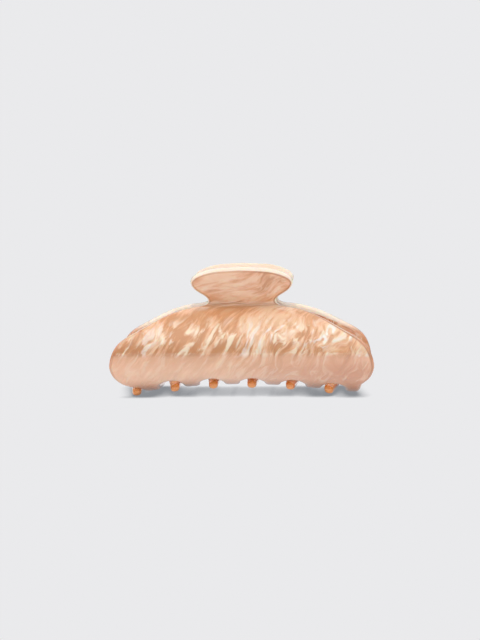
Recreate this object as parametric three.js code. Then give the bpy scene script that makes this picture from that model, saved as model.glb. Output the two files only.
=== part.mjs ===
// Claw hair clip of bent acetate sheet: two toothed jaws on a sprung steel hinge.
// Millimetres, +Z up, X along the clip, the front jaw on the -Y side, teeth on Z = 0.
import * as THREE from 'three';

// ---- driving dimensions -------------------------------------------------------------------

const sheet = 3.3; // thickness of the acetate sheet
const edgeRound = 1.25; // rounding of the tumbled edges
const fitGap = 0.3; // gap kept between pieces that touch
const runningClearance = 0.08; // between the pin and the bores of the ears

const jaw = {
  bulge: 22, // outer face to the middle plane at the fullest place of the body
  upperRadius: 16.3, // bend of the body above the bulge, on the middle of the sheet
  upperTurn: 71, // degrees the body turns from the bulge up to the neck
  neckRadius: 3.2, // tight bend between body and thumb plate
  flare: 25, // degrees the thumb plate leans outwards
  plateLength: 13.9, // straight part of the thumb plate
  lowerRadius: 14, // bend of the body below the bulge
  lowerTurn: 87, // degrees from the bulge down to the roots of the teeth
  toothReach: 21.5, // length of the teeth beyond the lower bend
  toothTurn: 2, // the last few degrees, spread over the teeth
  archRise: 3, // how much higher the middle teeth stand than the end teeth
  archSpan: 38, // half length over which the lower edge is arched
  archSoftness: 0.55, // how softly the arch dies out at its ends
};

const outline = {
  plateHalfWidth: 19.4,
  waistHalfWidth: 13.1,
  halfLength: 49.5,
};

const teeth = {
  count: 6, // on each jaw; the two rows stand half a pitch apart
  pitch: 15.4,
  rootHalfWidth: 3.3,
  tipRadius: 1.75,
  notchTop: -12.6, // height of the end notches, measured along the sheet from the bulge
  lean: 0.055, // share by which the tips lean towards the middle
};

const pin = { radius: 1, headRadius: 2, headThickness: 0.9 };

const ear = {
  thickness: 3,
  bossRadius: 3.2,
  bossTurn: 80, // degrees up from level at which the round of the boss starts
  inner: 5.7, // inner face of the inner ears, each way from the middle
  footBelow: 18.8, // the glued foot runs between these places along the sheet
  footAbove: 27.2,
};

const spring = {
  wire: 0.6, // radius of the wire
  coilRadius: 1.95,
  turns: 7,
  legEnd: 4.5, // distance from the end of a leg to the top of the thumb plate
};

const hingeHeight = 33.8;

const bendStep = 18; // degrees of bend that one facet may span
const crossStep = 19; // width of a facet across the arched lower edge
const onLevel = 0.02; // a point this close to a level counts as on it

const colours = {
  acetate: 0xe6b48c,
  acetateEar: 0xdca377,
  steel: 0xb9bcc0,
};

// ---- the bent sheet -----------------------------------------------------------------------
// The sheet is followed along its middle. Place 0 is the bulge, positive places go up to the
// thumb plate and negative places go down to the teeth.

const rad = THREE.MathUtils.degToRad;
const upperLength = jaw.upperRadius * rad(jaw.upperTurn);
const neckLength = jaw.neckRadius * rad(jaw.upperTurn + jaw.flare);
const lowerLength = jaw.lowerRadius * rad(jaw.lowerTurn);
const plateTop = upperLength + neckLength + jaw.plateLength;
const toothTip = -(lowerLength + jaw.toothReach);

const bendsUp = [
  { length: upperLength, turn: rad(jaw.upperTurn) },
  { length: neckLength, turn: -rad(jaw.upperTurn + jaw.flare) },
  { length: jaw.plateLength, turn: 0 },
];
const bendsDown = [
  { length: lowerLength, turn: rad(jaw.lowerTurn) },
  { length: jaw.toothReach, turn: rad(jaw.toothTurn) },
];

// Place on a chain of bends that starts at the bulge and heads straight up or down:
// how far it has come in towards the middle plane, how far it has risen, and its turn.
function follow(bends, distance) {
  let inward = 0;
  let rise = 0;
  let heading = 0;
  let left = distance;
  bends.forEach((bend, i) => {
    const last = i === bends.length - 1;
    const step = last ? left : Math.min(left, bend.length);
    const turn = (bend.turn * step) / bend.length;
    const chord = Math.abs(turn) > 1e-9 ? (step * Math.sin(turn / 2)) / (turn / 2) : step;
    inward += chord * Math.sin(heading + turn / 2);
    rise += chord * Math.cos(heading + turn / 2);
    heading += turn;
    left -= step;
  });
  return { inward, rise, heading };
}

const lowest = follow(bendsDown, -toothTip);
const bulgeHeight = lowest.rise + sheet / 2;

// Rise of the lower edge at a place along the clip: an arch that dies out softly at its ends.
function archLift(x) {
  const arch = jaw.archRise * (1 - (x / jaw.archSpan) ** 2);
  return (arch + Math.hypot(arch, jaw.archSoftness)) / 2;
}

// Where a point of the flat blank comes to lie on the front jaw.
function bend(x, along, offset) {
  const up = along >= 0;
  const place = follow(up ? bendsUp : bendsDown, Math.abs(along));
  const side = up ? 1 : -1;
  const depth = jaw.bulge - sheet / 2 - place.inward + offset * Math.cos(place.heading);
  const height = bulgeHeight + side * (place.rise + offset * Math.sin(place.heading));
  const lifted = archLift(x) * THREE.MathUtils.smoothstep(-along, 0, lowerLength);
  return new THREE.Vector3(x, -depth, height + lifted);
}

// ---- outline of the flat blank ------------------------------------------------------------

const neckPlace = upperLength + neckLength / 2;

// One side of thumb plate, waist and wing, from the top of the plate down to the end tooth.
function sidePoints(side) {
  const { plateHalfWidth, waistHalfWidth, halfLength } = outline;
  return [
    [0.51 * plateHalfWidth, plateTop - 0.6],
    [0.79 * plateHalfWidth, plateTop - 2.1],
    [0.95 * plateHalfWidth, plateTop - 4],
    [plateHalfWidth, plateTop - 6.3],
    [0.91 * plateHalfWidth, plateTop - 9.2],
    [waistHalfWidth + 0.6, neckPlace + 4.2],
    [waistHalfWidth, neckPlace + 2.2],
    [waistHalfWidth + 1.8, neckPlace + 0.3],
    [0.46 * halfLength, neckPlace - 3.4],
    [0.74 * halfLength, neckPlace - 12.4],
    [0.93 * halfLength, neckPlace - 18.6],
    [halfLength, -2.8],
    [halfLength - 0.9, -8.2],
    [halfLength - 4.3, -12.6],
  ].map(([x, along]) => new THREE.Vector2(side * x, along));
}

function toothCentre(i) {
  return (i - (teeth.count - 1) / 2) * teeth.pitch + teeth.pitch / 4;
}

function notchTopAt(x) {
  return teeth.notchTop + 0.45 * archLift(x);
}

// Draws one tooth from its right side round its tip to its left side.
function drawTooth(shape, i) {
  const root = toothCentre(i);
  const tip = root * (1 - teeth.lean);
  const tipCentre = toothTip + teeth.tipRadius;
  shape.lineTo(tip + teeth.tipRadius, tipCentre);
  shape.absarc(tip, tipCentre, teeth.tipRadius, 0, Math.PI, true);
  const archFoot = notchTopAt(root) - (teeth.pitch / 2 - teeth.rootHalfWidth);
  shape.lineTo(root - teeth.rootHalfWidth, archFoot);
}

// Draws the arched notch between tooth i and its left neighbour.
function drawNotch(shape, i) {
  const right = toothCentre(i) - teeth.rootHalfWidth;
  const left = toothCentre(i - 1) + teeth.rootHalfWidth;
  const halfWidth = (right - left) / 2;
  const archFoot = notchTopAt(toothCentre(i)) - halfWidth;
  shape.absarc((left + right) / 2, archFoot, halfWidth, 0, Math.PI, false);
}

function blankShape() {
  const shape = new THREE.Shape();
  const last = teeth.count - 1;
  shape.moveTo(0, plateTop);
  shape.splineThru(sidePoints(1));
  for (let i = last; i >= 0; i -= 1) {
    drawTooth(shape, i);
    if (i > 0) drawNotch(shape, i);
  }
  const left = sidePoints(-1).reverse();
  shape.splineThru([...left, new THREE.Vector2(0, plateTop)]);
  return shape;
}

// Levels at which the flat blank is scored so that its facets can follow the bends.
function scoreLevels() {
  const levels = [0];
  let up = 0;
  bendsUp.forEach((part) => {
    const steps = Math.max(1, Math.round(THREE.MathUtils.radToDeg(Math.abs(part.turn)) / bendStep));
    for (let i = 1; i <= steps; i += 1) levels.push(up + (part.length * i) / steps);
    up += part.length;
  });
  const lowerSteps = Math.round(jaw.lowerTurn / bendStep);
  for (let i = 1; i <= lowerSteps; i += 1) levels.push((-lowerLength * i) / lowerSteps);
  levels.push(-lowerLength - jaw.toothReach / 2);
  return levels;
}

// The part of a triangle on one side of a level.
function halfOf(triangle, axis, level, side) {
  const kept = [];
  triangle.forEach((point, i) => {
    const next = triangle[(i + 1) % 3];
    const here = side * (point[axis] - level);
    const there = side * (next[axis] - level);
    if (here > -onLevel) kept.push(point);
    const crosses = Math.min(here, there) < -onLevel && Math.max(here, there) > onLevel;
    if (crosses) {
      const [low, high] = point[axis] < next[axis] ? [point, next] : [next, point];
      const share = (level - low[axis]) / (high[axis] - low[axis]);
      kept.push(low.clone().lerp(high, share));
    }
  });
  return kept.length < 3 ? [] : kept.slice(2).map((point, i) => [kept[0], kept[i + 1], point]);
}

function score(triangles, axis, level) {
  return triangles.flatMap((triangle) => {
    const values = triangle.map((point) => point[axis] - level);
    const whole = Math.min(...values) > -onLevel || Math.max(...values) < onLevel;
    if (whole) return [triangle];
    return [...halfOf(triangle, axis, level, 1), ...halfOf(triangle, axis, level, -1)];
  });
}

function jawGeometry() {
  const blank = new THREE.ExtrudeGeometry(blankShape(), {
    depth: sheet - 2 * edgeRound,
    bevelThickness: edgeRound,
    bevelSize: edgeRound,
    bevelOffset: -edgeRound,
    bevelSegments: 1,
    curveSegments: 2,
  });
  blank.translate(0, 0, edgeRound - sheet / 2);
  const place = blank.attributes.position;
  let triangles = [];
  for (let i = 0; i < place.count; i += 3) {
    triangles.push([0, 1, 2].map((k) => new THREE.Vector3().fromBufferAttribute(place, i + k)));
  }
  scoreLevels().forEach((level) => {
    triangles = score(triangles, 'y', level);
  });
  const across = Math.floor(jaw.archSpan / crossStep);
  for (let i = -across; i <= across; i += 1) triangles = score(triangles, 'x', i * crossStep);
  const bent = triangles.flat().map((point) => bend(point.x, point.y, point.z));
  const geometry = new THREE.BufferGeometry().setFromPoints(bent);
  geometry.computeVertexNormals();
  return geometry;
}

// ---- hinge --------------------------------------------------------------------------------

// Section of an ear: a round boss on the pin, widening to a foot on the inner face of the jaw.
function earShape() {
  const foot = [];
  const steps = 10;
  for (let i = 0; i <= steps; i += 1) {
    const along = THREE.MathUtils.lerp(ear.footBelow, ear.footAbove, i / steps);
    const point = bend(0, along, -sheet / 2 - fitGap);
    foot.push(new THREE.Vector2(point.y, point.z));
  }
  const shape = new THREE.Shape(foot);
  shape.absarc(0, hingeHeight, ear.bossRadius, rad(ear.bossTurn), rad(ear.bossTurn - 180), true);
  const bore = new THREE.Path();
  bore.absarc(0, hingeHeight, pin.radius + runningClearance, 0, 2 * Math.PI, false);
  shape.holes.push(bore);
  return shape;
}

// Ear of the front jaw with its left face on the plane X = 0.
function earGeometry() {
  const geometry = new THREE.ExtrudeGeometry(earShape(), {
    depth: ear.thickness,
    bevelEnabled: false,
    curveSegments: 10,
  });
  // the drawing plane (y, z) is turned upright and stands across the clip
  const upright = new THREE.Matrix4().makeBasis(
    new THREE.Vector3(0, 1, 0),
    new THREE.Vector3(0, 0, 1),
    new THREE.Vector3(1, 0, 0),
  );
  return geometry.applyMatrix4(upright);
}

const earPair = ear.inner + 2 * ear.thickness + fitGap; // outer face of the outer ear

// The pin stands along Y here, its middle at the origin.
function pinGeometry() {
  const { radius, headRadius, headThickness } = pin;
  const seat = earPair + fitGap;
  const half = [
    [radius, 0],
    [radius, seat],
    [headRadius, seat],
    [headRadius, seat + 0.35 * headThickness],
    [0.7 * headRadius, seat + 0.85 * headThickness],
    [0, seat + headThickness],
  ];
  const mirrored = half.slice(1).reverse().map(([r, x]) => [r, -x]);
  const points = [...mirrored, ...half].map(([r, x]) => new THREE.Vector2(r, x));
  return new THREE.LatheGeometry(points, 20);
}

// Centre line of the spring about the pin's middle: a coil with one leg up each thumb plate.
class SpringLine extends THREE.Curve {
  getPoint(t) {
    const { wire, coilRadius, turns, legEnd } = spring;
    const reach = ear.inner - fitGap - wire;
    const legShare = 0.12;
    const coil = THREE.MathUtils.clamp((t - legShare) / (1 - 2 * legShare), 0, 1);
    const angle = Math.PI - coil * Math.PI * (2 * turns + 1);
    const x = THREE.MathUtils.lerp(-reach, reach, coil);
    const y = coilRadius * Math.cos(angle);
    const z = coilRadius * Math.sin(angle);
    const leg = Math.max(legShare - t, t - 1 + legShare, 0) / legShare;
    const rest = bend(0, plateTop - legEnd, -sheet / 2 - fitGap - wire);
    const side = t < 0.5 ? 1 : -1;
    const legTip = new THREE.Vector3(x, side * rest.y, rest.z - hingeHeight);
    return new THREE.Vector3(x, y, z).lerp(legTip, leg);
  }
}

function springGeometry() {
  const section = new THREE.Shape();
  section.absarc(0, 0, spring.wire, 0, 2 * Math.PI, false);
  return new THREE.ExtrudeGeometry(section, {
    steps: 100,
    extrudePath: new SpringLine(),
    curveSegments: 3,
  });
}

// ---- assembly -----------------------------------------------------------------------------

function material(colour, roughness, metalness) {
  return new THREE.MeshStandardMaterial({ color: colour, roughness, metalness });
}

const acetate = material(colours.acetate, 0.15, 0);
const acetateEar = material(colours.acetateEar, 0.25, 0);
const steel = material(colours.steel, 0.3, 1);

function named(name, geometry, finish) {
  const mesh = new THREE.Mesh(geometry, finish);
  mesh.name = name;
  return mesh;
}

const jawBlank = jawGeometry();
const earBlank = earGeometry();

// A jaw as the front one stands, with its outer ear on the left and its inner ear on the right.
function jawWithEars(jawName, outerEarName, innerEarName) {
  const outerEar = named(outerEarName, earBlank, acetateEar);
  outerEar.position.x = -earPair;
  const innerEar = named(innerEarName, earBlank, acetateEar);
  innerEar.position.x = ear.inner;
  const group = new THREE.Group();
  group.add(named(jawName, jawBlank, acetate), outerEar, innerEar);
  return group;
}

const front = jawWithEars('front_jaw', 'front_ear_left', 'front_ear_right');

// the rear jaw is the front one turned half round the upright axis
const rear = jawWithEars('rear_jaw', 'rear_ear_right', 'rear_ear_left');
rear.rotation.z = Math.PI;

const hingePin = named('hinge_pin', pinGeometry(), steel);
hingePin.rotation.z = -Math.PI / 2;
const torsionSpring = named('torsion_spring', springGeometry(), steel);
const hinge = new THREE.Group();
hinge.position.z = hingeHeight;
hinge.add(hingePin, torsionSpring);

const clip = new THREE.Group();
clip.name = 'claw_clip';
clip.add(front, rear, hinge);

export default clip;
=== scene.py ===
import math

import bpy
import numpy as np
from mathutils import Matrix, Vector


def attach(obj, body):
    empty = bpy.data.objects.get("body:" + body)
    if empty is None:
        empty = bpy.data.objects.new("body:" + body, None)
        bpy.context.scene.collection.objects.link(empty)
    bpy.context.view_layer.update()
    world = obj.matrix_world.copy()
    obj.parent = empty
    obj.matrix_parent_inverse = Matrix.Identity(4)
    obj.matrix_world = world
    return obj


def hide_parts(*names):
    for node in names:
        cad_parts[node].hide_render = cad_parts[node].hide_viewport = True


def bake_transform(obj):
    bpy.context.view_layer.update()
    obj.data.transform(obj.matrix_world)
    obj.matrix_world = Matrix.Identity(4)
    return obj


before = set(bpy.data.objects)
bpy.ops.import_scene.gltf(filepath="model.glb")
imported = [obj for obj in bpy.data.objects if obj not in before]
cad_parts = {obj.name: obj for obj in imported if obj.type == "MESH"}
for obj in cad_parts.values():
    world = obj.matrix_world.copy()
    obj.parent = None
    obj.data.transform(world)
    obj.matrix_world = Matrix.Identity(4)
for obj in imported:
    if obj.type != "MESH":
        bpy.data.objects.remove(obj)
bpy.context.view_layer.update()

# the sheet the jaws are bent from, in metres; places run along it from the fullest point of the body,
# up to the thumb plate and down to the teeth
sheet = {
    "thickness": 0.0033,
    "edgeRound": 0.00125,
    "bulge": 0.022,            # outer face to the middle of the clip
    "upperRadius": 0.0163, "upperTurn": 71,
    "neckRadius": 0.0032, "flare": 25,
    "plateLength": 0.0137,
    "lowerRadius": 0.014, "lowerTurn": 87,
    "toothReach": 0.0215, "toothTurn": 2,
    "archRise": 0.003, "archSpan": 0.038,
    "archSoftness": 3e-7,      # square metres
    "easing": 0.0011,          # how softly one bend runs into the next
    "grain": 0.00042,          # size of the finished faces
}

upperLength = sheet["upperRadius"] * math.radians(sheet["upperTurn"])
neckLength = sheet["neckRadius"] * math.radians(sheet["upperTurn"] + sheet["flare"])
lowerLength = sheet["lowerRadius"] * math.radians(sheet["lowerTurn"])
plateTop = upperLength + neckLength + sheet["plateLength"]
toothTip = -(lowerLength + sheet["toothReach"])


def bendTable():
    # the sheet is followed in small steps: how sharply it bends, then its slope, then its place
    step = 0.00002
    spare = 0.003
    places = np.arange(toothTip - spare, plateTop + spare, step)
    curve = np.zeros_like(places)
    curve[places < 0] = 1 / sheet["lowerRadius"]
    curve[places < -lowerLength] = math.radians(sheet["toothTurn"]) / sheet["toothReach"]
    curve[places >= 0] = 1 / sheet["upperRadius"]
    curve[places >= upperLength] = -1 / sheet["neckRadius"]
    curve[places >= upperLength + neckLength] = 0
    kernel = np.hanning(int(2 * sheet["easing"] / step))
    curve = np.convolve(curve, kernel / kernel.sum(), mode="same")
    zero = np.searchsorted(places, 0)
    slope = np.cumsum(curve) * step
    slope -= slope[zero]
    inward = np.cumsum(np.sin(slope)) * step
    rise = np.cumsum(np.cos(slope)) * step
    return places, slope, inward - inward[zero], rise - rise[zero]


tablePlaces, tableSlope, tableInward, tableRise = bendTable()
bulgeHeight = sheet["thickness"] / 2 - float(np.interp(toothTip, tablePlaces, tableRise))


def archLift(x):
    # the lower edge rises in the middle of the clip and fades out softly towards its ends
    arch = sheet["archRise"] * (1 - (x / sheet["archSpan"]) ** 2)
    return (arch + np.sqrt(arch ** 2 + sheet["archSoftness"])) / 2


def bend(x, along, offset):
    # where a point of the flat blank comes to lie on the front jaw
    slope = np.interp(along, tablePlaces, tableSlope)
    depth = sheet["bulge"] - sheet["thickness"] / 2 - np.interp(along, tablePlaces, tableInward)
    depth = depth + offset * np.cos(slope)
    height = bulgeHeight + np.interp(along, tablePlaces, tableRise) + offset * np.sin(slope)
    share = np.clip(-along / lowerLength, 0, 1)
    height = height + archLift(x) * share * share * (3 - 2 * share)
    return x, -depth, height


# the tools that every piece uses
def clearSelection():
    if bpy.context.object and bpy.context.object.mode != "OBJECT":
        bpy.ops.object.mode_set(mode="OBJECT")
    bpy.ops.object.select_all(action="DESELECT")


def pick(obj):
    clearSelection()
    obj.select_set(True)
    bpy.context.view_layer.objects.active = obj


def addModifier(obj, kind, **settings):
    pick(obj)
    modifier = obj.modifiers.new(kind.title(), kind)
    for key, value in settings.items():
        setattr(modifier, key, value)
    bpy.ops.object.modifier_apply(modifier=modifier.name)


def smoothLine(points, steps):
    # a soft line through a few points
    points = [Vector(p) for p in points]
    line = []
    for i in range(len(points) - 1):
        a, b = points[max(i - 1, 0)], points[i]
        c, d = points[i + 1], points[min(i + 2, len(points) - 1)]
        for k in range(steps):
            t = k / steps
            line.append(0.5 * (2 * b + (c - a) * t + (2 * a - 5 * b + 4 * c - d) * t ** 2
                               + (3 * b - a - 3 * c + d) * t ** 3))
    line.append(points[-1])
    return line


def arc(centre, radius, start, end, steps):
    angles = [math.radians(start + (end - start) * i / steps) for i in range(steps + 1)]
    return [Vector((centre[0] + radius * math.cos(a), centre[1] + radius * math.sin(a))) for a in angles]


def cutPlate(name, line, thickness, rounding, segments=4):
    # a disc is drawn out to the outline, pulled up to its thickness, and its rims are rounded
    clearSelection()
    bpy.ops.mesh.primitive_circle_add(vertices=len(line), radius=0.01, fill_type="NGON")
    plate = bpy.context.object
    plate.name = name
    for vertex, point in zip(plate.data.vertices, line):
        vertex.co = (point[0], point[1], -thickness / 2)
    bpy.ops.object.mode_set(mode="EDIT")
    bpy.ops.mesh.select_all(action="SELECT")
    bpy.ops.mesh.extrude_region_move(TRANSFORM_OT_translate={"value": (0, 0, thickness)})
    bpy.ops.mesh.select_all(action="SELECT")
    bpy.ops.mesh.normals_make_consistent(inside=False)
    bpy.ops.object.mode_set(mode="OBJECT")
    addModifier(plate, "BEVEL", width=rounding, segments=segments, limit_method="ANGLE",
                angle_limit=math.radians(60), use_clamp_overlap=False)
    return plate


def turnedCopy(piece, name):
    # the rear pieces are the front ones turned half round the upright axis
    copy = piece.copy()
    copy.data = piece.data.copy()
    copy.name = name
    copy.data.name = name
    bpy.context.collection.objects.link(copy)
    copy.data.transform(Matrix.Rotation(math.pi, 4, "Z"))
    return copy


outline = {"plateHalf": 0.0194, "waistHalf": 0.0131, "halfLength": 0.0495, "steps": 10,
           "rearShift": 0.31}  # the rear jaw is cut from another part of the patterned sheet

teeth = {"count": 6, "pitch": 0.0154, "rootHalf": 0.0033, "tipRadius": 0.00175,
         "notchTop": -0.0126, "notchLift": 0.45, "lean": 0.055}


def sidePoints(side):
    neck = upperLength + neckLength / 2
    plate, waist, half = outline["plateHalf"], outline["waistHalf"], outline["halfLength"]
    rows = [
        (0.51 * plate, plateTop - 0.0006),
        (0.79 * plate, plateTop - 0.0021),
        (0.95 * plate, plateTop - 0.004),
        (plate, plateTop - 0.0063),
        (0.91 * plate, plateTop - 0.0092),
        (waist + 0.0006, neck + 0.0042),
        (waist, neck + 0.0022),
        (waist + 0.0018, neck + 0.0003),
        (0.46 * half, neck - 0.0034),
        (0.74 * half, neck - 0.0124),
        (0.93 * half, neck - 0.0186),
        (half, -0.0028),
        (half - 0.0009, -0.0082),
        (half - 0.0043, -0.0126),
    ]
    return [(side * x, along) for x, along in rows]


def toothCentre(i):
    return (i - (teeth["count"] - 1) / 2) * teeth["pitch"] + teeth["pitch"] / 4


def notchTopAt(x):
    return teeth["notchTop"] + teeth["notchLift"] * float(archLift(x))


def blankLine():
    top = (0, plateTop)
    line = smoothLine([top] + sidePoints(1), outline["steps"])
    notchHalf = teeth["pitch"] / 2 - teeth["rootHalf"]
    tipCentre = toothTip + teeth["tipRadius"]
    for i in reversed(range(teeth["count"])):
        root = toothCentre(i)
        tip = root * (1 - teeth["lean"])
        line += arc((tip, tipCentre), teeth["tipRadius"], 0, -180, 16)
        archFoot = notchTopAt(root) - notchHalf
        if i > 0:
            line += arc((root - teeth["pitch"] / 2, archFoot), notchHalf, 0, 180, 20)
        else:
            line.append(Vector((root - teeth["rootHalf"], archFoot)))
    line += smoothLine(sidePoints(-1)[::-1] + [top], outline["steps"])[:-1]
    return line


def makeFrontJaw():
    jaw = cutPlate("frontJaw", blankLine(), sheet["thickness"], sheet["edgeRound"])
    addModifier(jaw, "REMESH", mode="VOXEL", voxel_size=sheet["grain"], use_smooth_shade=True)
    addModifier(jaw, "SMOOTH", factor=0.5, iterations=4)
    # each point remembers its place on the flat sheet, and is then bent into the jaw
    flat = np.empty(len(jaw.data.vertices) * 3, dtype=np.float32)
    jaw.data.vertices.foreach_get("co", flat)
    place = jaw.data.attributes.new("sheetPlace", "FLOAT_VECTOR", "POINT")
    place.data.foreach_set("vector", flat)
    flat = flat.reshape(-1, 3)
    bent = np.stack(bend(flat[:, 0], flat[:, 1], flat[:, 2]), axis=1)
    jaw.data.vertices.foreach_set("co", bent.astype(np.float32).ravel())
    jaw.data.update()
    return jaw


def shiftPattern(jaw, shift):
    data = jaw.data.attributes["sheetPlace"].data
    values = np.empty(len(data) * 3, dtype=np.float32)
    data.foreach_get("vector", values)
    values[0::3] += shift
    data.foreach_set("vector", values)


frontJaw = makeFrontJaw()
rearJaw = turnedCopy(frontJaw, "rearJaw")
shiftPattern(rearJaw, outline["rearShift"])
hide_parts("front_jaw")
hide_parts("rear_jaw")
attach(frontJaw, "front")
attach(rearJaw, "rear")
print("jaws bent:", len(frontJaw.data.polygons), "faces each")


hinge = {"height": 0.0338, "pinRadius": 0.001, "headRadius": 0.0019, "boreRadius": 0.00108}

ears = {"thickness": 0.003, "boss": 0.0032, "bossTurn": 80, "inner": 0.0057, "gap": 0.0003,
        "footBelow": 0.0188, "footAbove": 0.0272, "edgeRound": 0.00045}


def earLine():
    # a foot that follows the inside of the neck, and a round boss about the pin
    footSteps = 12
    foot = []
    for i in range(footSteps + 1):
        along = ears["footBelow"] + (ears["footAbove"] - ears["footBelow"]) * i / footSteps
        _, y, z = bend(0.0, along, -sheet["thickness"] / 2 - ears["gap"])
        foot.append(Vector((float(y), float(z))))
    return foot + arc((0, hinge["height"]), ears["boss"], ears["bossTurn"], ears["bossTurn"] - 180, 24)


def makeEar(name, left):
    ear = cutPlate(name, earLine(), ears["thickness"], ears["edgeRound"], 3)
    clearSelection()
    bpy.ops.mesh.primitive_cylinder_add(vertices=48, radius=hinge["boreRadius"], depth=0.02,
                                        location=(0, hinge["height"], 0))
    drill = bpy.context.object
    addModifier(ear, "BOOLEAN", operation="DIFFERENCE", object=drill, solver="EXACT")
    bpy.data.objects.remove(drill)
    # the ear was cut lying down; its thickness now runs along X
    upright = Matrix(((0, 0, 1, 0), (1, 0, 0, 0), (0, 1, 0, 0), (0, 0, 0, 1)))
    ear.data.transform(Matrix.Translation((left + ears["thickness"] / 2, 0, 0)) @ upright)
    pick(ear)
    bpy.ops.object.shade_smooth_by_angle(angle=math.radians(35))
    return ear


earSpan = ears["inner"] + 2 * ears["thickness"] + ears["gap"]
frontEarLeft = makeEar("frontEarLeft", -earSpan)
frontEarRight = makeEar("frontEarRight", ears["inner"])
rearEarLeft = turnedCopy(frontEarRight, "rearEarLeft")
rearEarRight = turnedCopy(frontEarLeft, "rearEarRight")
for piece, node, body in ((frontEarLeft, "front_ear_left", "front"),
                          (frontEarRight, "front_ear_right", "front"),
                          (rearEarLeft, "rear_ear_left", "rear"),
                          (rearEarRight, "rear_ear_right", "rear")):
    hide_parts(node)
    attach(piece, body)
print("ears drilled")


def makePin():
    # a rod whose two ends are pressed out into round heads
    seat = earSpan + ears["gap"]
    clearSelection()
    bpy.ops.mesh.primitive_cylinder_add(vertices=40, radius=hinge["pinRadius"], depth=2 * seat)
    rod = bpy.context.object
    rod.name = "hingePin"
    # how far each ring of the head is pulled out, and how much wider it is than the one before
    rings = ((0.0, hinge["headRadius"] / hinge["pinRadius"]), (0.00022, 1.04), (0.0002, 0.93),
             (0.00016, 0.8), (0.0001, 0.6), (0.00004, 0.35))
    for side in (-1, 1):
        bpy.ops.object.mode_set(mode="EDIT")
        bpy.ops.mesh.select_all(action="DESELECT")
        bpy.ops.object.mode_set(mode="OBJECT")
        for face in rod.data.polygons:
            face.select = face.normal.z * side > 0.9 and face.center.z * side > 0.99 * seat
        bpy.ops.object.mode_set(mode="EDIT")
        for lift, spread in rings:
            bpy.ops.mesh.extrude_region_move(TRANSFORM_OT_translate={"value": (0, 0, side * lift)})
            bpy.ops.transform.resize(value=(spread, spread, 1), center_override=(0, 0, side * seat))
        bpy.ops.object.mode_set(mode="OBJECT")
    lying = Matrix.Rotation(math.pi / 2, 4, "Y")
    rod.data.transform(Matrix.Translation((0, 0, hinge["height"])) @ lying)
    pick(rod)
    bpy.ops.object.shade_smooth_by_angle(angle=math.radians(40))
    return rod


pin = makePin()
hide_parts("hinge_pin")
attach(pin, "front")


spring = {"wire": 0.0006, "coil": 0.00195, "turns": 7, "legEnd": 0.0045,
          "twistStart": 0.0012}  # in from the ends of the coil, where it starts to twist


def springLine():
    # one leg, the turns round the pin, the other leg
    coilReach = ears["inner"] - ears["gap"] - spring["wire"]
    steps = 22 * spring["turns"]
    legSteps = 12
    turns = []
    for i in range(steps + 1):
        share = i / steps
        angle = math.pi - share * math.pi * (2 * spring["turns"] + 1)
        turns.append(Vector((-coilReach + 2 * coilReach * share, spring["coil"] * math.cos(angle),
                             hinge["height"] + spring["coil"] * math.sin(angle))))
    resting = -sheet["thickness"] / 2 - ears["gap"] - spring["wire"]
    _, y, z = bend(0.0, plateTop - spring["legEnd"], resting)
    firstEnd = Vector((-coilReach, float(y), float(z)))
    lastEnd = Vector((coilReach, -float(y), float(z)))
    firstLeg = [firstEnd.lerp(turns[0], k / legSteps) for k in range(legSteps)]
    lastLeg = [turns[-1].lerp(lastEnd, (k + 1) / legSteps) for k in range(legSteps)]
    return firstLeg + turns + lastLeg


def makeSpring():
    line = springLine()
    clearSelection()
    bpy.ops.curve.primitive_nurbs_path_add()
    path = bpy.context.object
    path.name = "torsionSpring"
    curve = path.data
    curve.splines.remove(curve.splines[0])
    wire = curve.splines.new("NURBS")
    wire.points.add(len(line) - 1)
    for point, place in zip(wire.points, line):
        point.co = (*place, 1)
    wire.use_endpoint_u = True
    wire.order_u = 3
    wire.resolution_u = 2
    curve.bevel_depth = spring["wire"]
    curve.bevel_resolution = 4
    curve.use_fill_caps = True
    pick(path)
    bpy.ops.object.convert(target="MESH")
    path = bpy.context.object
    bpy.ops.object.shade_smooth_by_angle(angle=math.radians(50))
    return path


springPiece = makeSpring()
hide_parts("torsion_spring")
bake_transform(springPiece)
print("pin and spring made")


# short ways to add the nodes that the materials share
def newMaterial(name):
    material = bpy.data.materials.new(name)
    material.use_nodes = True
    nodes = material.node_tree.nodes
    return material, nodes, material.node_tree.links, nodes["Principled BSDF"]


def plug(links, socket, value):
    # a socket takes a number, a colour or another node's output
    if isinstance(value, (int, float)):
        socket.default_value = value
    elif isinstance(value, tuple):
        socket.default_value = (*value, 1)
    else:
        links.new(value, socket)


def ramp(nodes, stops):
    node = nodes.new("ShaderNodeValToRGB")
    elements = node.color_ramp.elements
    while len(elements) < len(stops):
        elements.new(0.5)
    for element, (place, colour) in zip(elements, stops):
        element.position = place
        element.color = (*colour, 1)
    return node


def noise(nodes, links, vector, scale, detail, roughness=0.5, distortion=0.0):
    node = nodes.new("ShaderNodeTexNoise")
    node.inputs["Scale"].default_value = scale
    node.inputs["Detail"].default_value = detail
    node.inputs["Roughness"].default_value = roughness
    node.inputs["Distortion"].default_value = distortion
    links.new(vector, node.inputs["Vector"])
    return node


def mapping(nodes, links, vector, rotation=(0, 0, 0), scale=(1, 1, 1), location=(0, 0, 0)):
    node = nodes.new("ShaderNodeMapping")
    node.inputs["Rotation"].default_value = [math.radians(a) for a in rotation]
    node.inputs["Scale"].default_value = scale
    node.inputs["Location"].default_value = location
    links.new(vector, node.inputs["Vector"])
    return node.outputs["Vector"]


def mapRange(nodes, links, value, low, high):
    # 0 at low and 1 at high, with a soft run between
    node = nodes.new("ShaderNodeMapRange")
    node.interpolation_type = "SMOOTHSTEP"
    node.inputs["From Min"].default_value = low
    node.inputs["From Max"].default_value = high
    links.new(value, node.inputs["Value"])
    return node.outputs[0]


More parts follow.
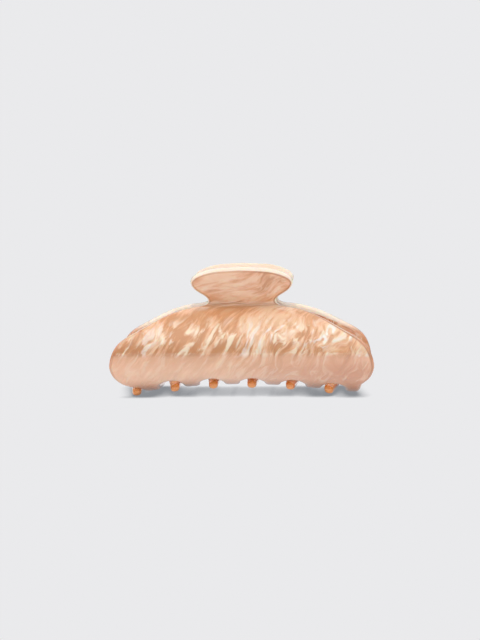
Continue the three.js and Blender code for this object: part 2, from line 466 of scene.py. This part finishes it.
def mathNode(nodes, links, operation, *values):
    node = nodes.new("ShaderNodeMath")
    node.operation = operation
    for socket, value in zip(node.inputs, values):
        plug(links, socket, value)
    return node.outputs[0]


def product(nodes, links, a, b):
    return mathNode(nodes, links, "MULTIPLY", a, b)


def multiplyAdd(nodes, links, a, b, c):
    return mathNode(nodes, links, "MULTIPLY_ADD", a, b, c)


def mixColour(nodes, links, factor, a, b):
    node = nodes.new("ShaderNodeMix")
    node.data_type = "RGBA"
    for number, value in ((0, factor), (6, a), (7, b)):
        plug(links, node.inputs[number], value)
    return node.outputs[2]


def addBump(nodes, links, shader, height, strength, distance):
    bump = nodes.new("ShaderNodeBump")
    bump.inputs["Strength"].default_value = strength
    bump.inputs["Distance"].default_value = distance
    links.new(height, bump.inputs["Height"])
    links.new(bump.outputs["Normal"], shader.inputs["Normal"])


pearl = {
    "deep": (0.62, 0.30, 0.135),
    "peach": (0.78, 0.44, 0.25),
    "light": (0.88, 0.60, 0.40),
    "cream": (0.93, 0.74, 0.55),
    # painted highlight colour for the lit flanks of the folds
    "paintedFoldHighlight": (1.0, 0.90, 0.83),
    "tones": (0.36, 0.48, 0.62),        # where the cloud of colour turns deep, peach and light
    "paintedRim": (0.89, 0.74, 0.61),          # painted highlight on the polished cut edges
    "lowShade": (0.62, 0.27, 0.125),      # painted shade on the cut edges round the ends and the teeth, and where the body turns under
    "rimFade": (0.003, 0.011),          # stretch of the sheet where one gives way to the other
    "rimShadeLine": (0.48, 0.22, 0.11),      # painted shade line where a face turns over into its edge
    "plateInsideLight": 0.85,                # painted light: how pale the inner faces of the thumb plates are
    "tip": (0.86, 0.30, 0.06),          # painted glow: the very tips are a saturated orange
    "tableReflectionPink": (1.0, 0.66, 0.465), "tableReflectionShare": 0.62,  # painted reflection of the table on the lower body
    "endShade": (0.60, 0.27, 0.15), "endShadeShare": 0.8,     # painted shade: one end of the lower body is a little darker
    "underFade": (-0.0085, -0.016), "underShare": 0.85,  # painted shade where the body turns under
    "streakTilt": 36, "plateTilt": 78,  # degrees the streaks lean from straight up the sheet
    "sweepGrain": 0.085,
    "swirls": (4, 15),                  # how far the streaks are swept about, in mm, end to end
    "streakGrain": (0.6, 0.09, 0.3),
    "wispGrain": (0.40, 0.13, 0.3),
    "foldGrain": (0.28, 0.13, 0.2),
    "foldStep": (0.28, 0.1, 0),         # how far apart the painted highlight flank and the painted shade flank of a fold lie
    "foldSlope": (0.015, 0.10),         # gentle and steep flanks
    "cloudGrain": (0.075, 0.055, 0.1),
    "pearlLitStretch": (0.0, 0.0115),         # stretch of the sheet where the pearl catches the light most, and where its painted highlights and shade go
    "calm": 0.6,                        # how much of it shows elsewhere
    "reliefStrength": 0.8, "relief": 0.0014,
    "metal": 0.12, "foldHighlightMetal": 0.25,
    "roughness": 0.33,
    "through": 0.45, "depth": (0.006, 0.003, 0.0016),  # light that soaks into the sheet, how deep
    "coatRoughness": 0.03, "coatIor": 1.7,
}


def sweptSheet(nodes, links, place, onPlate, turning):
    # sheet places in mm, laid along the streaks and then swept about, more towards one end
    flow = mixColour(nodes, links, onPlate, *(
        mapping(nodes, links, place, rotation=(0, 0, pearl[tilt]), scale=(1000, 1000, 1000))
        for tilt in ("streakTilt", "plateTilt")))
    least, most = pearl["swirls"]
    sweep = noise(nodes, links, mapping(nodes, links, flow, scale=(pearl["sweepGrain"],) * 3), 1.0, 1.5)
    pushed = nodes.new("ShaderNodeVectorMath")
    pushed.operation = "SCALE"
    links.new(sweep.outputs["Color"], pushed.inputs[0])
    links.new(multiplyAdd(nodes, links, turning, most - least, least), pushed.inputs["Scale"])
    shifted = nodes.new("ShaderNodeVectorMath")
    links.new(pushed.outputs[0], shifted.inputs[0])
    links.new(flow, shifted.inputs[1])
    return shifted.outputs[0]


def pearlAcetate():
    material, nodes, links, shader = newMaterial("pearlAcetate")
    place = nodes.new("ShaderNodeAttribute")
    place.attribute_name = "sheetPlace"
    split = nodes.new("ShaderNodeSeparateXYZ")
    links.new(place.outputs["Vector"], split.inputs[0])
    along, across = split.outputs["Y"], split.outputs["Z"]
    onPlate = mapRange(nodes, links, along, upperLength, upperLength + neckLength)
    half = outline["halfLength"]
    fromEnd = mathNode(nodes, links, "ADD", split.outputs["X"], half)
    drift = mathNode(nodes, links, "PINGPONG", fromEnd, 2 * half)

    # the pearl is painted most vivid on the upper body, where it catches the light: its streaks and wisps
    # show stronger there, and the painted highlights and shade of the folds lie there
    low, high = pearl["pearlLitStretch"]
    band = product(nodes, links, mapRange(nodes, links, along, low - 0.0012, low + 0.0008),
                   mapRange(nodes, links, along, high + 0.005, high - 0.004))
    lively = multiplyAdd(nodes, links, band, 1 - pearl["calm"], pearl["calm"])
    turning = mapRange(nodes, links, drift, 0.9 * half, 1.5 * half)

    swept = sweptSheet(nodes, links, place.outputs["Vector"], onPlate, turning)
    streaks = noise(nodes, links, mapping(nodes, links, swept, scale=pearl["streakGrain"]),
                    1.0, 4.0, 0.55, 0.15).outputs["Fac"]
    wisps = noise(nodes, links, mapping(nodes, links, swept, scale=pearl["wispGrain"], location=(31, 7, 0)),
                  1.0, 4.0, 0.55, 0.5).outputs["Fac"]
    folds, behind = (
        noise(nodes, links, mapping(nodes, links, swept, scale=pearl["foldGrain"], location=step),
              1.0, 1.5, 0.45, 0.4).outputs["Fac"]
        for step in ((0, 0, 0), pearl["foldStep"]))
    clouds = noise(nodes, links, mapping(nodes, links, swept, scale=pearl["cloudGrain"]),
                   1.0, 2.0).outputs["Fac"]

    # clouds of colour, plain with painted shade under the neck, with painted light on the thumb plate, and
    # with a painted light gradient lighter to one end
    tone = multiplyAdd(nodes, links, mathNode(nodes, links, "SUBTRACT", streaks, 0.5),
                       mathNode(nodes, links, "ADD", lively, 0.2), clouds)
    # painted shade under the neck; below zero on the thumb plate, where it paints light instead
    neckShade = mathNode(nodes, links, "SUBTRACT", mapRange(nodes, links, along, high - 0.001, high + 0.005),
                     product(nodes, links, onPlate, 1.3))
    tone = multiplyAdd(nodes, links, neckShade, -0.1, tone)
    # painted light: the tone rises towards one end
    tone = multiplyAdd(nodes, links, mapRange(nodes, links, drift, 0.0, 2 * half), 0.18,
                       mathNode(nodes, links, "ADD", tone, -0.11))
    base = ramp(nodes, list(zip(pearl["tones"], (pearl["deep"], pearl["peach"], pearl["light"]))))
    links.new(tone, base.inputs["Fac"])

    # painted reflection of the table makes the lower body a paler pink, and painted shade makes it darker
    # towards one end
    below = product(nodes, links, 0.5,
                    mathNode(nodes, links, "ADD", mapRange(nodes, links, along, 0.0004, -0.0008),
                             mapRange(nodes, links, along, 0.0, -0.006)))
    colour = mixColour(nodes, links, product(nodes, links, below, pearl["tableReflectionShare"]),
                       base.outputs["Color"], pearl["tableReflectionPink"])
    # painted shade towards one end of the lower body
    darker = product(nodes, links, mapRange(nodes, links, drift, 0.3 * half, 1.9 * half), pearl["endShadeShare"])
    colour = mixColour(nodes, links, product(nodes, links, darker, below), colour, pearl["endShade"])

    # cream wisps everywhere, and on the folds, where the pearl is lively, painted shade on one flank and a
    # painted highlight on the other
    wisp = product(nodes, links, mapRange(nodes, links, wisps, 0.5, 0.66),
                   product(nodes, links, lively, lively))
    wisp = product(nodes, links, wisp, multiplyAdd(nodes, links, neckShade, -0.6, 1.0))
    colour = mixColour(nodes, links, wisp, colour, pearl["cream"])
    busy = product(nodes, links, band, mapRange(nodes, links, clouds, 0.38, 0.54))
    busy = product(nodes, links, busy, multiplyAdd(nodes, links, turning, 0.5, 0.5))
    gentle, steep = pearl["foldSlope"]
    slope = mathNode(nodes, links, "SUBTRACT", folds, behind)
    # painted shade on one flank of each fold
    dark = product(nodes, links, mapRange(nodes, links, slope, -gentle, -steep), busy)
    colour = mixColour(nodes, links, product(nodes, links, dark, 0.75), colour, pearl["deep"])
    # painted highlight on the other flank of each fold
    foldHighlightFlank = product(nodes, links, mapRange(nodes, links, slope, gentle, steep), busy)
    colour = mixColour(nodes, links, foldHighlightFlank, colour, pearl["paintedFoldHighlight"])
    # painted shade where the body turns under towards the floor
    under = product(nodes, links, mapRange(nodes, links, along, *pearl["underFade"]), pearl["underShare"])
    colour = mixColour(nodes, links, under, colour, pearl["lowShade"])

    # the very tips get a painted glow of saturated orange, the upper cut edges a painted highlight, and the
    # lower ones painted shade
    # painted glow of light through the very tips
    tipShare = mapRange(nodes, links, along, toothTip + 0.012, toothTip + 0.002)
    colour = mixColour(nodes, links, tipShare, colour, pearl["tip"])
    face = sheet["thickness"] / 2
    # painted light on the inner faces of the thumb plates
    inside = product(nodes, links, mapRange(nodes, links, across, -face * 0.76, -face * 0.9),
                     product(nodes, links, onPlate, pearl["plateInsideLight"]))
    colour = mixColour(nodes, links, inside, colour, pearl["paintedRim"])
    # a painted shade line where the outer face turns over into its edge
    line = product(nodes, links, mapRange(nodes, links, across, face * 0.99, face * 0.94),
                   mapRange(nodes, links, across, face * 0.78, face * 0.86))
    line = product(nodes, links, line, multiplyAdd(nodes, links, turning, 0.4, 0.5))
    colour = mixColour(nodes, links, line, colour, pearl["rimShadeLine"])
    # painted highlight on the upper cut edges, giving way to painted shade round the ends and the teeth
    paintedRim = mapRange(nodes, links, mathNode(nodes, links, "ABSOLUTE", across), face * 0.9, face * 0.76)
    notTip = mathNode(nodes, links, "SUBTRACT", 1.0, tipShare)
    rimColour = mixColour(nodes, links, mapRange(nodes, links, along, *pearl["rimFade"]),
                          pearl["lowShade"], pearl["paintedRim"])
    colour = mixColour(nodes, links, product(nodes, links, paintedRim, notTip), colour, rimColour)
    links.new(colour, shader.inputs["Base Color"])

    metal = multiplyAdd(nodes, links, foldHighlightFlank, pearl["foldHighlightMetal"], pearl["metal"])
    links.new(metal, shader.inputs["Metallic"])
    height = product(nodes, links, mathNode(nodes, links, "ADD", wisps, folds), lively)
    addBump(nodes, links, shader, height, pearl["reliefStrength"], pearl["relief"])
    shader.inputs["Roughness"].default_value = pearl["roughness"]
    shader.inputs["Subsurface Weight"].default_value = pearl["through"]
    shader.inputs["Subsurface Radius"].default_value = pearl["depth"]
    shader.inputs["Subsurface Scale"].default_value = 1.0
    shader.inputs["Coat Weight"].default_value = 1.0
    shader.inputs["Coat Roughness"].default_value = pearl["coatRoughness"]
    shader.inputs["Coat IOR"].default_value = pearl["coatIor"]
    return material


def earAcetate():
    # sawn from the same sheet, and only lightly polished
    material, nodes, links, shader = newMaterial("earAcetate")
    place = nodes.new("ShaderNodeTexCoord").outputs["Object"]
    cloud = noise(nodes, links, place, 260, 4.0, 0.6, 0.8)
    colour = ramp(nodes, ((0.35, pearl["deep"]), (0.55, pearl["peach"]), (0.7, pearl["light"])))
    links.new(cloud.outputs["Fac"], colour.inputs["Fac"])
    links.new(colour.outputs["Color"], shader.inputs["Base Color"])
    saw = noise(nodes, links, mapping(nodes, links, place, scale=(1, 0.08, 1)), 9000, 2.0)
    addBump(nodes, links, shader, saw.outputs["Fac"], 0.25, 0.00005)
    shader.inputs["Roughness"].default_value = 0.3
    shader.inputs["Coat Weight"].default_value = 0.4
    shader.inputs["Coat Roughness"].default_value = 0.2
    return material


def drawnSteel():
    # fine lines run round the wire and the pin
    material, nodes, links, shader = newMaterial("drawnSteel")
    place = nodes.new("ShaderNodeTexCoord").outputs["Object"]
    lines = noise(nodes, links, mapping(nodes, links, place, scale=(1, 6, 6)), 2500, 3.0)
    for socket, dull, bright in (("Base Color", (0.42, 0.42, 0.43), (0.62, 0.62, 0.63)),
                                 ("Roughness", (0.2, 0.2, 0.2), (0.36, 0.36, 0.36))):
        shades = ramp(nodes, ((0.3, dull), (0.7, bright)))
        links.new(lines.outputs["Fac"], shades.inputs["Fac"])
        links.new(shades.outputs["Color"], shader.inputs[socket])
    shader.inputs["Metallic"].default_value = 1.0
    return material


def give(material, *pieces):
    for piece in pieces:
        piece.data.materials.clear()
        piece.data.materials.append(material)


give(pearlAcetate(), frontJaw, rearJaw)
give(earAcetate(), frontEarLeft, frontEarRight, rearEarLeft, rearEarRight)
give(drawnSteel(), pin, springPiece)
print("materials given")


studio = {
    "table": (0.823, 0.823, 0.838),     # glow of the light table the clip stands on
    "paintedShadow": (0.26, 0.27, 0.29), "shadeReach": 0.0055,  # painted shadow: what is left of the glow close under the clip
    "shadeStops": (0.4, 0.96),          # how open the table is where it is darkest, and where it is clear
    "tableMirrored": 1.15,              # how bright the table looks in the clip's gloss
    "backdrop": (0.823, 0.823, 0.838),  # what the camera sees behind the floor
    "fill": 0.97,                       # light from all round
    # height in the room and how brightly it glows in the clip's gloss
    "mirrored": ((0.0, 0.12), (0.25, 0.2), (0.55, 1.3), (0.8, 1.1), (0.97, 0.35)),
    "sky": 1.35, "skyAngle": 60, "skyTilt": (10, -6),
}


def mixShaders(nodes, links, factor, first, second):
    mix = nodes.new("ShaderNodeMixShader")
    for socket, value in zip(mix.inputs, (factor, first, second)):
        links.new(value, socket)
    return mix.outputs[0]


def makeFloor():
    # a very large light table with a painted shadow: its glow is darkened by ambient occlusion where
    # something sits close to it
    clearSelection()
    bpy.ops.mesh.primitive_plane_add(size=60, location=(0, 0, 0))
    table = bpy.context.object
    table.name = "table"
    material, nodes, links, shader = newMaterial("lightTable")
    nodes.remove(shader)
    near = nodes.new("ShaderNodeAmbientOcclusion")
    near.samples = 16
    near.inputs["Distance"].default_value = studio["shadeReach"]
    # painted shadow, seen both directly and in the clip's gloss
    glow = ramp(nodes, list(zip(studio["shadeStops"], (studio["paintedShadow"], studio["table"]))))
    links.new(near.outputs["AO"], glow.inputs["Fac"])
    seen = nodes.new("ShaderNodeEmission")
    mirrored = nodes.new("ShaderNodeEmission")
    mirrored.inputs["Strength"].default_value = studio["tableMirrored"]
    for glowing in (seen, mirrored):
        links.new(glow.outputs["Color"], glowing.inputs["Color"])
    ray = nodes.new("ShaderNodeLightPath")
    surface = mixShaders(nodes, links, ray.outputs["Is Glossy Ray"], seen.outputs[0], mirrored.outputs[0])
    links.new(surface, nodes["Material Output"].inputs["Surface"])
    give(material, table)


def makeSky():
    # one very large soft box straight above
    data = bpy.data.lights.new("sky", "SUN")
    data.energy = studio["sky"]
    data.angle = math.radians(studio["skyAngle"])
    light = bpy.data.objects.new("sky", data)
    bpy.context.collection.objects.link(light)
    light.rotation_euler = (*(math.radians(tilt) for tilt in studio["skyTilt"]), 0)
    light.visible_glossy = False


def makeRoom():
    # even light on the clip, a plain backdrop, and a room of its own in the clip's gloss
    world = bpy.data.worlds.new("room")
    bpy.context.scene.world = world
    world.use_nodes = True
    nodes, links = world.node_tree.nodes, world.node_tree.links
    fill = nodes["Background"]
    fill.inputs["Color"].default_value = (1.0, 1.0, 1.0, 1)
    fill.inputs["Strength"].default_value = studio["fill"]
    upward = nodes.new("ShaderNodeTexCoord")
    height = nodes.new("ShaderNodeSeparateXYZ")
    links.new(upward.outputs["Generated"], height.inputs[0])
    glow = ramp(nodes, [(place, (level,) * 3) for place, level in studio["mirrored"]])
    glow.color_ramp.interpolation = "B_SPLINE"
    links.new(height.outputs["Z"], glow.inputs["Fac"])
    mirrored = nodes.new("ShaderNodeBackground")
    links.new(glow.outputs["Color"], mirrored.inputs["Color"])
    backdrop = nodes.new("ShaderNodeBackground")
    backdrop.inputs["Color"].default_value = (*studio["backdrop"], 1)
    ray = nodes.new("ShaderNodeLightPath")
    lit = mixShaders(nodes, links, ray.outputs["Is Glossy Ray"], fill.outputs[0], mirrored.outputs[0])
    seen = mixShaders(nodes, links, ray.outputs["Is Camera Ray"], lit, backdrop.outputs[0])
    links.new(seen, nodes["World Output"].inputs["Surface"])


makeFloor()
makeSky()
makeRoom()
bpy.context.scene.view_settings.view_transform = "Standard"

view = {"azimuth": 2.7, "elevation": 5.5, "distance": 0.65, "roll": -0.5, "lens": 95.06,
        "aim": (-0.00123, 0, 0.02766)}


def makeCamera():
    data = bpy.data.cameras.new("camera")
    data.lens = view["lens"]
    data.sensor_width = 36
    data.sensor_fit = "AUTO"
    camera = bpy.data.objects.new("camera", data)
    bpy.context.collection.objects.link(camera)
    azimuth, elevation = math.radians(view["azimuth"]), math.radians(view["elevation"])
    away = Vector((math.sin(azimuth) * math.cos(elevation), -math.cos(azimuth) * math.cos(elevation),
                   math.sin(elevation)))
    camera.location = Vector(view["aim"]) + view["distance"] * away
    roll = Matrix.Rotation(math.radians(view["roll"]), 4, "Z").to_quaternion()
    camera.rotation_euler = ((-away).to_track_quat("-Z", "Y") @ roll).to_euler()
    bpy.context.scene.camera = camera


makeCamera()
print("floor, light and camera placed")
